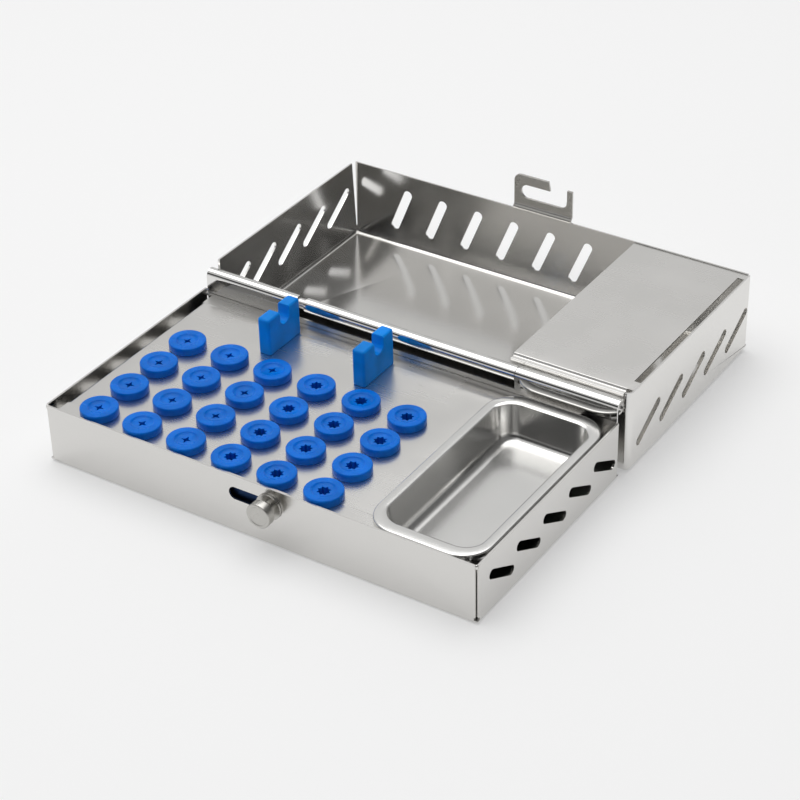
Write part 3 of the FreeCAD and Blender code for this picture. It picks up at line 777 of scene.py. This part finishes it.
# %% Hook
hook_low, hook_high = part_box("latch_hook")
HOOK_SHEET = 0.8 * MM
HOOK_SLOT = {"length": 17.1 * MM, "width": 4.9 * MM}
SLOT_LEFT = hook_low.x + 2.7 * MM
SLOT_RIGHT = SLOT_LEFT + HOOK_SLOT["length"]
SLOT_Z = 2 * hinge.z - knob_z
MOUTH_X = hook_low.x + 14 * MM
MOUTH_LEAN = 1.2 * MM
CROWN_DROP = 1.4 * MM
JOGGLE_TOP = LID_TOP + MM
hook = add_block("hook_plate", hook_low, (hook_high.x, hook_low.y + HOOK_SHEET, hook_high.z))
split_at(hook, [LID_TOP, JOGGLE_TOP], Z)
with editing(hook, "VERT"):
    pick(hook, "verts", lambda v: v.co.z > JOGGLE_TOP - 0.1 * MM)
    bpy.ops.transform.translate(value=(0, hook_high.y - hook_low.y - HOOK_SHEET, 0))
    pick(hook, "edges", lambda e: all_at(e, "x", hook_low.x) and all_at(e, "z", hook_high.z))
    round_off(2.4 * MM, 10)
    pick(hook, "edges", lambda e: (all_at(e, "z", LID_TOP) or all_at(e, "z", JOGGLE_TOP))
         and near(e.verts[0].co.y, e.verts[1].co.y))
    round_off(0.4 * MM, 3)
mouth = add_block("mouth", (MOUTH_X, hook_low.y - MM, SLOT_Z),
                  (SLOT_RIGHT, hook_high.y + MM, hook_high.z + SHEET))
with editing(mouth, "VERT"):
    pick(mouth, "verts", lambda v: v.co.z > SLOT_Z + MM and v.co.x < MOUTH_X + MM)
    bpy.ops.transform.translate(value=(-MOUTH_LEAN, 0, 0))
cut(hook, [slot_cutter(((SLOT_LEFT + SLOT_RIGHT) / 2, hook_low.y, SLOT_Z), Y, X, depth=8 * MM, **HOOK_SLOT)])
cut(hook, [mouth])
cut(hook, [add_block("crown", (SLOT_RIGHT - SHEET, hook_low.y - MM, hook_high.z - CROWN_DROP),
                     (hook_high.x + SHEET, hook_high.y + MM, hook_high.z + SHEET))])
break_edges(hook, 0.12 * MM)
print("hook:", [round(v / MM, 2) for v in hook.dimensions])

# %% [markdown]
# A material is a graph of nodes. All patterns here are noise on Object coordinates, which are metres from
# the box's own centre, so that a pattern stays where it is when a part moves. Most helpers add a node or
# two and return the socket that the next one reads.

# %% Shader helpers


def add_node(tree, kind, place, **settings):
    """A shader node at a place in the graph, with its settings."""
    node = tree.nodes.new("ShaderNode" + kind)
    node.location = place
    for key, value in settings.items():
        setattr(node, key, value)
    return node


def new_material(name):
    """A new shader graph with its main shader and its object coordinates."""
    material = bpy.data.materials.new(name)
    material.use_nodes = True
    tree = material.node_tree
    shader = tree.nodes["Principled BSDF"]
    coordinate = add_node(tree, "TexCoord", (-1200, 0)).outputs["Object"]
    return material, tree, shader, coordinate


def noise(tree, coordinate, scale, detail, place, stretch=(1, 1, 1)):
    """A noise texture on object coordinates; scale counts features in a metre."""
    mapping = add_node(tree, "Mapping", (place[0] - 200, place[1]))
    mapping.inputs["Scale"].default_value = stretch
    texture = add_node(tree, "TexNoise", place)
    texture.inputs["Scale"].default_value = scale
    texture.inputs["Detail"].default_value = detail
    tree.links.new(coordinate, mapping.inputs["Vector"])
    tree.links.new(mapping.outputs["Vector"], texture.inputs["Vector"])
    return texture.outputs["Fac"]


def remap(tree, value, low, high, place):
    """Stretches the middle of a noise to a range."""
    node = add_node(tree, "MapRange", place)
    for key, limit in (("From Min", 0.3), ("From Max", 0.7), ("To Min", low), ("To Max", high)):
        node.inputs[key].default_value = limit
    tree.links.new(value, node.inputs["Value"])
    return node.outputs["Result"]


def bump(tree, height, strength, distance, place, below=None, invert=False):
    """A bump of one height on top of another bump."""
    node = add_node(tree, "Bump", place, invert=invert)
    node.inputs["Strength"].default_value = strength
    node.inputs["Distance"].default_value = distance
    tree.links.new(height, node.inputs["Height"])
    if below:
        tree.links.new(below, node.inputs["Normal"])
    return node.outputs["Normal"]


def tinted(tree, amount, tone, spread, place):
    """A colour that runs between a darker and a lighter tone with a noise."""
    node = add_node(tree, "Mix", place, data_type="RGBA")
    node.inputs["A"].default_value = (*[c * (1 - spread) for c in tone], 1)
    node.inputs["B"].default_value = (*[min(1, c * (1 + spread)) for c in tone], 1)
    tree.links.new(amount, node.inputs["Factor"])
    return node.outputs["Result"]


# %% [markdown]
# Stainless steel has hardly any colour of its own: it shows its surroundings. A plain metal shader looks
# too perfect, so the life of real sheet is put into the roughness and the bump. Slow ripples bend the
# reflections a little, smudges change the gloss over a centimetre or two, and fine lines run along the
# rolling direction. The lid's walls spring out by a few degrees on the real box. A bump whose height is the
# place along Z tips their shading by that much, which is simpler than to bend the walls and all their
# slots. One function makes every steel, from satin sheet to polished pressing.

# %% Steel


def steel(name, tone, roughness, ripple=0.08, line=(1, 40, 40), lean=0):
    """Stainless sheet: its tone and gloss, how wavy it is, how its lines stretch, how its walls lean."""
    material, tree, shader, coordinate = new_material(name)
    smudge = noise(tree, coordinate, 45, 2, (-800, 200))
    lines = noise(tree, coordinate, 90, 3, (-800, -100), line)
    ripples = noise(tree, coordinate, 22, 1, (-800, -400))
    worn = add_node(tree, "Math", (-300, 100), operation="MULTIPLY_ADD")
    tree.links.new(lines, worn.inputs[0])
    worn.inputs[1].default_value = roughness * 0.15
    tree.links.new(remap(tree, smudge, roughness * 0.85, roughness * 1.1, (-500, 200)), worn.inputs[2])
    tree.links.new(worn.outputs["Value"], shader.inputs["Roughness"])
    tree.links.new(tinted(tree, remap(tree, smudge, 0, 1, (-500, 400)), tone, 0.01, (-250, 350)),
                   shader.inputs["Base Color"])
    surface = bump(tree, ripples, ripple, 0.6 * MM, (-500, -400))
    surface = bump(tree, lines, 0.012, 0.02 * MM, (-350, -500), surface)
    if lean:
        height = add_node(tree, "SeparateXYZ", (-500, -800))
        tree.links.new(coordinate, height.inputs["Vector"])
        surface = bump(tree, height.outputs["Z"], 1, lean, (-50, -700), surface, invert=True)
    tree.links.new(surface, shader.inputs["Normal"])
    shader.inputs["Metallic"].default_value = 1
    return material


SATIN = (0.71, 0.70, 0.68)
PRESSED = (0.76, 0.755, 0.74)
pan_steel = steel("satin_pan_steel", SATIN, 0.22)
lid_steel = steel("satin_lid_steel", (0.77, 0.76, 0.74), 0.15, lean=0.055)
plate_steel = steel("satin_plate_steel", SATIN, 0.25, 0.03)
cover_steel = steel("satin_cover_steel", SATIN, 0.26, 0.03)
tray_steel = steel("bright_tray_steel", PRESSED, 0.2, 0.08)
barrel_steel = steel("bright_rolled_steel", PRESSED, 0.07, 0.05)
latch_steel = steel("turned_latch_steel", (0.52, 0.51, 0.485), 0.26, 0.05, (40, 1, 40))
pin_steel = steel("drawn_pin_steel", (0.62, 0.61, 0.6), 0.25)
# Painted shade and painted reflection: a dark navy steel for slider and guide, where they are seen through
# the latch's slot.
painted_shade_steel = steel("slider_painted_shade_steel", (0.012, 0.03, 0.085), 0.4)
print("steels:", [m.name for m in bpy.data.materials if m.name.endswith("steel")])

# %% [markdown]
# Silicone is a soft, slightly cloudy plastic. Plain blue paint would look hard, so some light goes a little
# way in and comes out again, the colour is cloudy by about a tenth, and the skin has a fine tooth that
# spreads the highlights.

# %% Silicone


def silicone(name, tone, roughness):
    """Moulded silicone with a fine skin and light that goes in a little."""
    material, tree, shader, coordinate = new_material(name)
    cloud = noise(tree, coordinate, 140, 3, (-800, 200))
    skin = noise(tree, coordinate, 2600, 4, (-800, -300))
    tree.links.new(tinted(tree, remap(tree, cloud, 0, 1, (-500, 300)), tone, 0.14, (-250, 300)),
                   shader.inputs["Base Color"])
    tree.links.new(remap(tree, cloud, roughness * 0.85, roughness * 1.2, (-500, 50)),
                   shader.inputs["Roughness"])
    tree.links.new(bump(tree, skin, 0.25, 0.03 * MM, (-400, -300)), shader.inputs["Normal"])
    shader.inputs["Specular IOR Level"].default_value = 0.14
    shader.inputs["Subsurface Weight"].default_value = 0.2
    shader.inputs["Subsurface Radius"].default_value = (0.15, 0.45, 1)
    shader.inputs["Subsurface Scale"].default_value = 1.2 * MM
    return material


grommet_silicone = silicone("grommet_silicone_blue", (0.0005, 0.155, 0.66), 0.26)
rest_silicone = silicone("rest_silicone_blue", (0.001, 0.24, 0.78), 0.36)
print("silicones:", grommet_silicone.name, rest_silicone.name)

# %% [markdown]
# Every piece now gets its finish, the body that it moves with and the solid that it stands for. One list
# holds all of that, so that a piece can't be given one and miss another.

# %% Finishes, bodies and solids
PIECES = [
    (base_shell, pan_steel, "base", "base_shell", "base_steel"),
    (plate, plate_steel, "base", "bur_plate", "plate_steel"),
    (tray, tray_steel, "base", "tray_insert", "tray_steel"),
    (rests["left"], rest_silicone, "base", "instrument_rest_left", "rest_silicone"),
    (rests["right"], rest_silicone, "base", "instrument_rest_right", "rest_silicone"),
    (lid_shell, lid_steel, "lid", "lid_shell", "lid_steel"),
    (cover, cover_steel, "lid", "cover_plate", "cover_steel"),
    (hook, latch_steel, "lid", "latch_hook", "latch_steel"),
    (knob, latch_steel, "latch", "latch_knob", "latch_steel"),
]
PIECES += [(piece, grommet_silicone, "base", "grommet_%d_%d" % place, "grommet_silicone")
           for place, piece in grommets.items()]
for piece, finish, body, node, slot in PIECES:
    piece.data.materials.clear()
    piece.data.materials.append(finish)
    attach(piece, body)
    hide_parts(node)
print("finished pieces:", len(PIECES))

# %% [markdown]
# The rolled hinge leaves are brighter than the pans that they belong to, because the rollers burnish them,
# so their faces get a second material. The frame's own guide, slider and pin are shown as they are. Slider
# and the guide's track are painted with shade: a dark navy steel stands for the shade, and for a painted
# reflection of blue silicone, where they are seen through the latch's slot. The guide's upper edge stays
# bright.

# %% Second finishes, and the frame's own pieces


def finish_faces(mesh, finish, test):
    """Gives a second material to the faces that pass a test, and says how many."""
    mesh.materials.append(finish)
    chosen = [face for face in mesh.polygons if test(face)]
    for face in chosen:
        face.material_index = 1
    return len(chosen)


def burnished(face):
    """True for faces of a rolled barrel, or of the strip that rises to it."""
    from_axis = math.hypot(face.center.y - hinge.y, face.center.z - hinge.z)
    from_wall = abs(face.center.y - base_rear)
    return from_axis < BARREL + 0.2 * MM or (face.center.z > BASE_TOP and from_wall < SHEET + 0.1 * MM)


for pan in (base_shell, lid_shell):
    print(pan.name, "rolled faces:", finish_faces(pan.data, barrel_steel, burnished))
for node, finish in (("latch_guide", plate_steel), ("latch_slider", painted_shade_steel), ("hinge_pin", pin_steel)):
    for slot in bpy.data.objects[node].material_slots:
        slot.material = finish
# The guide's faces behind the slot take the dark steel as well: painted shade.
painted_shade_track_faces = finish_faces(bpy.data.objects["latch_guide"].data, painted_shade_steel,
                           lambda face: face.normal.y < -0.9 and face.center.y > base_front + MM)
print("track faces:", painted_shade_track_faces)

# %% [markdown]
# The photograph looks as if it was taken on white card in a white tent, from above the front right. A
# camera can be placed by hand until it looks right. This one is rebuilt from angles, distance and lens, so
# that it stays the same: it looks at a point on the box, and it is rolled by a degree.

# %% Stage and camera
bpy.ops.object.select_all(action="DESELECT")
bpy.ops.mesh.primitive_plane_add(size=4, location=(0, 0, 0))
floor = name_last("floor")


def aim_camera(lens, azimuth, elevation, distance, target, roll):
    """A camera at a distance from its target, turned right by azimuth and up by elevation."""
    a, e, r = math.radians(azimuth), math.radians(elevation), math.radians(roll)
    back = Vector((math.sin(a) * math.cos(e), -math.cos(a) * math.cos(e), math.sin(e)))
    level = Vector((math.cos(a), math.sin(a), 0))
    rise = back.cross(level)
    right = level * math.cos(r) + rise * math.sin(r)
    up = rise * math.cos(r) - level * math.sin(r)
    data = bpy.data.cameras.new("camera")
    data.lens, data.sensor_width = lens, 36
    camera = bpy.data.objects.new("camera", data)
    bpy.context.scene.collection.objects.link(camera)
    turn = Matrix((right, up, back)).transposed().to_4x4()
    camera.matrix_world = Matrix.Translation(target + back * distance) @ turn
    bpy.context.scene.camera = camera
    return camera


camera = aim_camera(102.51, 33.587, 33.705, 692.2 * MM, Vector((5.54, 29.24, 10)) * MM, -1.382)
bpy.context.scene.view_settings.view_transform = "Standard"
print("camera at", [round(v / MM) for v in camera.location])

# %% [markdown]
# Polished metal needs something to reflect. A picture of a studio would do, but three smooth ramps are
# easier to read and to change. The tent is a world whose brightness depends only on direction: white
# overhead and on the far side, dimmer to the right, dark in front where the photographer stands, and pale
# again in a low skirt all round.

# %% Tent
world = bpy.data.worlds.new("tent")
bpy.context.scene.world = world
world.use_nodes = True
sky = world.node_tree
direction = add_node(sky, "TexCoord", (-1400, 0)).outputs["Generated"]


def facing(way, start, end, low, high, place):
    """Brightness that runs from low to high as the direction turns towards a way."""
    product = add_node(sky, "VectorMath", place, operation="DOT_PRODUCT")
    product.inputs[1].default_value = Vector(way).normalized()
    sky.links.new(direction, product.inputs[0])
    ramp = add_node(sky, "MapRange", (place[0] + 200, place[1]), interpolation_type="SMOOTHSTEP")
    for key, value in (("From Min", start), ("From Max", end), ("To Min", low), ("To Max", high)):
        ramp.inputs[key].default_value = value
    sky.links.new(product.outputs["Value"], ramp.inputs["Value"])
    return ramp.outputs["Result"]


def combined(tree, operation, a, b, place):
    """Two numbers put together by a Math node."""
    node = add_node(tree, "Math", place, operation=operation)
    tree.links.new(a, node.inputs[0])
    tree.links.new(b, node.inputs[1])
    return node.outputs["Value"]


roof = facing((0, 0.627, 0.779), -0.04, 0.06, 0.03, 0.68, (-1100, 300))
side = facing((1, 0, 0), 0.4, -0.1, 0.2, 1, (-1100, 0))
skirt = facing((0, 0, 1), 0.38, 0.05, 0, 0.75, (-1100, -300))
lit = combined(sky, "MULTIPLY", roof, side, (-700, 200))
tent = combined(sky, "MAXIMUM", lit, skirt, (-500, 100))
grey = add_node(sky, "CombineColor", (-300, 100))
for channel in ("Red", "Green", "Blue"):
    sky.links.new(tent, grey.inputs[channel])
sky.links.new(grey.outputs["Color"], sky.nodes["Background"].inputs["Color"])
print("tent nodes:", len(sky.nodes))

# %% [markdown]
# One broad softbox hangs above the box. It could be a point lamp, but only a broad one gives shadows as
# soft as the photograph's and wide white bands on the hinge and the tray.

# %% Softbox
lamp = bpy.data.lights.new("softbox", "AREA")
lamp.shape = "DISK"
lamp.size, lamp.energy = 1.4, 7.6
softbox = bpy.data.objects.new("softbox", lamp)
bpy.context.scene.collection.objects.link(softbox)
softbox.location = (-0.15, 0.1, 1.0)
print("softbox:", lamp.size, "m wide,", lamp.energy, "W")

# %% [markdown]
# The floor is white card with a faint tooth. It keeps the object's shadow because it is mostly a plain dull
# surface. To the camera and in mirror reflections, some of it glows white, which brings it up to the
# photograph's background without more light on the object.

# %% White card
GLOW = 0.3
card, tree, shader, coordinate = new_material("white_card")
tooth = noise(tree, coordinate, 900, 3, (-800, -300))
tree.links.new(bump(tree, tooth, 0.05, 0.1 * MM, (-400, -300)), shader.inputs["Normal"])
shader.inputs["Base Color"].default_value = (0.93, 0.93, 0.93, 1)
shader.inputs["Roughness"].default_value = 0.9
glow = add_node(tree, "Emission", (-300, 600))
glow.inputs["Strength"].default_value = 1
path = add_node(tree, "LightPath", (-700, 800))
seen = combined(tree, "MAXIMUM", path.outputs["Is Camera Ray"], path.outputs["Is Glossy Ray"], (-500, 800))
share = add_node(tree, "Math", (-300, 800), operation="MULTIPLY")
share.inputs[1].default_value = GLOW
tree.links.new(seen, share.inputs[0])
both = add_node(tree, "MixShader", (0, 700))
tree.links.new(share.outputs["Value"], both.inputs["Fac"])
tree.links.new(shader.outputs["BSDF"], both.inputs[1])
tree.links.new(glow.outputs["Emission"], both.inputs[2])
tree.links.new(both.outputs["Shader"], tree.nodes["Material Output"].inputs["Surface"])
floor.data.materials.append(card)
print("card glows by", GLOW)
